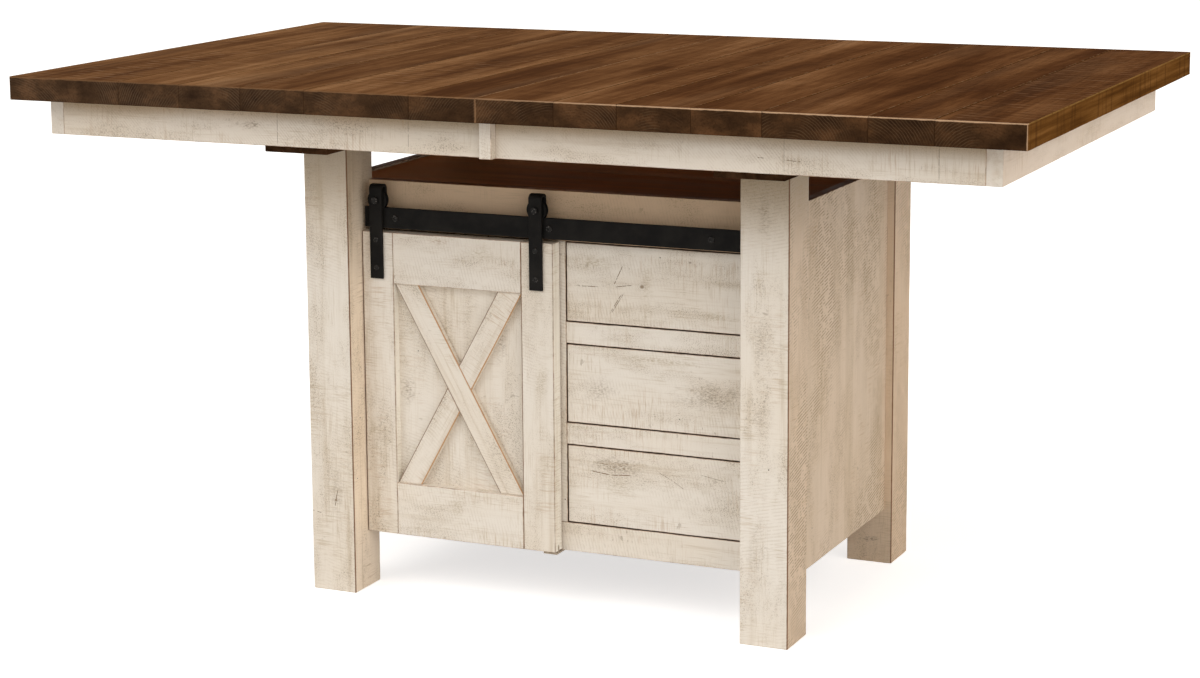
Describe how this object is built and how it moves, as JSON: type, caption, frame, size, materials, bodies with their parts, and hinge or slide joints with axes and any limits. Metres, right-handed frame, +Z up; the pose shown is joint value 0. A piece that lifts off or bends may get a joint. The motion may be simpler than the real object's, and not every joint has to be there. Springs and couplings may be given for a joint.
{
  "type": "kitchen table with storage cabinet",
  "caption": "Counter-height table with a planked top that slides apart, on a painted base with a cabinet, an X-braced sliding door on rollers, and drawers.",
  "frame": {"origin": "on the floor, under the middle of the closed table top", "axes": "+X along the table's length, from the door's side to the drawers' side; -Y is the front, with the door and the drawers; +Z up"},
  "size_m": [1.78, 1.08, 0.914],
  "materials": {
    "top_planks": "mottled brown stain, waxed, rubbed through to orange on the edges",
    "painted_wood": "off-white paint over rough-sawn boards, tan glaze, rubbed edges",
    "black_stained_wood": "near-black stain",
    "brown_stained_wood": "dark reddish-brown stain",
    "plain_wood": "sanded, unfinished",
    "black_steel": "black powder coat",
    "zinc_steel": "zinc plated",
    "black_nylon": "moulded, matte"
  },
  "bodies": {
    "base": {"equaliser_pin": "zinc_steel", "equaliser_bar": "plain_wood", "slide_fixed_rails": "plain_wood", "cleats": "black_stained_wood", "leg_front_left": "painted_wood", "leg_front_right": "painted_wood", "leg_back_left": "painted_wood", "leg_back_right": "painted_wood", "side_panel_left": "painted_wood", "side_panel_right": "painted_wood", "back_panel": "painted_wood", "cabinet_bottom": "brown_stained_wood", "cabinet_top": "brown_stained_wood", "frame_rail_top": "painted_wood", "frame_rail_bottom": "painted_wood", "frame_outer_stiles": "painted_wood", "frame_centre_stile": "painted_wood", "drawer_rails": "painted_wood", "partition": "plain_wood", "drawer_wall": "plain_wood", "shelf": "plain_wood", "shelf_battens": "plain_wood", "door_track": "black_steel", "track_spacers": "black_steel", "track_bolts": "black_steel", "door_guide": "black_steel", "drawer_fixed_runners": "zinc_steel"},
    "top_left": {"top_left_planks": "top_planks", "top_left_long_aprons": "painted_wood", "top_left_end_apron": "painted_wood", "top_left_cover_blocks": "painted_wood", "top_left_alignment_pins": "plain_wood", "top_left_slide_rails": "plain_wood", "top_left_rack": "black_nylon"},
    "top_right": {"top_right_planks": "top_planks", "top_right_long_aprons": "painted_wood", "top_right_end_apron": "painted_wood", "top_right_slide_rails": "plain_wood", "top_right_rack": "black_nylon"},
    "pinion": {"equaliser_pinion": "black_nylon"},
    "door": {"door_stiles": "painted_wood", "door_rail_top": "painted_wood", "door_rail_bottom": "painted_wood", "door_panel": "painted_wood", "door_long_brace": "painted_wood", "door_short_braces": "painted_wood", "door_hangers": "black_steel", "wheel_axles": "black_steel"},
    "wheel_left": {"wheel_left": "black_steel"},
    "wheel_right": {"wheel_right": "black_steel"},
    "drawer_top": {"drawer_top_front": "painted_wood", "drawer_top_box": "plain_wood", "drawer_top_runners": "zinc_steel"},
    "drawer_middle": {"drawer_middle_front": "painted_wood", "drawer_middle_box": "plain_wood", "drawer_middle_runners": "zinc_steel"},
    "drawer_bottom": {"drawer_bottom_front": "painted_wood", "drawer_bottom_box": "plain_wood", "drawer_bottom_runners": "zinc_steel"}
  },
  "joints": [
    {"name": "top_left_slide", "type": "slide", "parent": "base", "child": "top_left", "axis": [-1, 0, 0], "range_m": [0, 0.305]},
    {"name": "top_right_slide", "type": "slide", "parent": "base", "child": "top_right", "axis": [1, 0, 0], "range_m": [0, 0.305]},
    {"name": "pinion_spin", "type": "hinge", "parent": "base", "child": "pinion", "pos_m": [0, 0, 0.867], "axis": [0, 0, 1], "range_deg": [-875, 1]},
    {"name": "door_slide", "type": "slide", "parent": "base", "child": "door", "axis": [-1, 0, 0], "range_m": [-0.35, 0]},
    {"name": "wheel_left_spin", "type": "hinge", "parent": "door", "child": "wheel_left", "pos_m": [-0.329, -0.262, 0.6935], "axis": [0, 1, 0], "range_deg": [-1, 1645]},
    {"name": "wheel_right_spin", "type": "hinge", "parent": "door", "child": "wheel_right", "pos_m": [-0.025, -0.262, 0.6935], "axis": [0, 1, 0], "range_deg": [-1, 1645]},
    {"name": "drawer_top_slide", "type": "slide", "parent": "base", "child": "drawer_top", "axis": [0, -1, 0], "range_m": [0, 0.3]},
    {"name": "drawer_middle_slide", "type": "slide", "parent": "base", "child": "drawer_middle", "axis": [0, -1, 0], "range_m": [0, 0.3]},
    {"name": "drawer_bottom_slide", "type": "slide", "parent": "base", "child": "drawer_bottom", "axis": [0, -1, 0], "range_m": [0, 0.3]}
  ],
  "couplings": [
    {"joint": "top_right_slide", "follows": "top_left_slide", "ratio": 1},
    {"joint": "pinion_spin", "follows": "top_left_slide", "rad_per_m": -50},
    {"joint": "wheel_left_spin", "follows": "door_slide", "rad_per_m": -81.967},
    {"joint": "wheel_right_spin", "follows": "door_slide", "rad_per_m": -81.967}
  ]
}
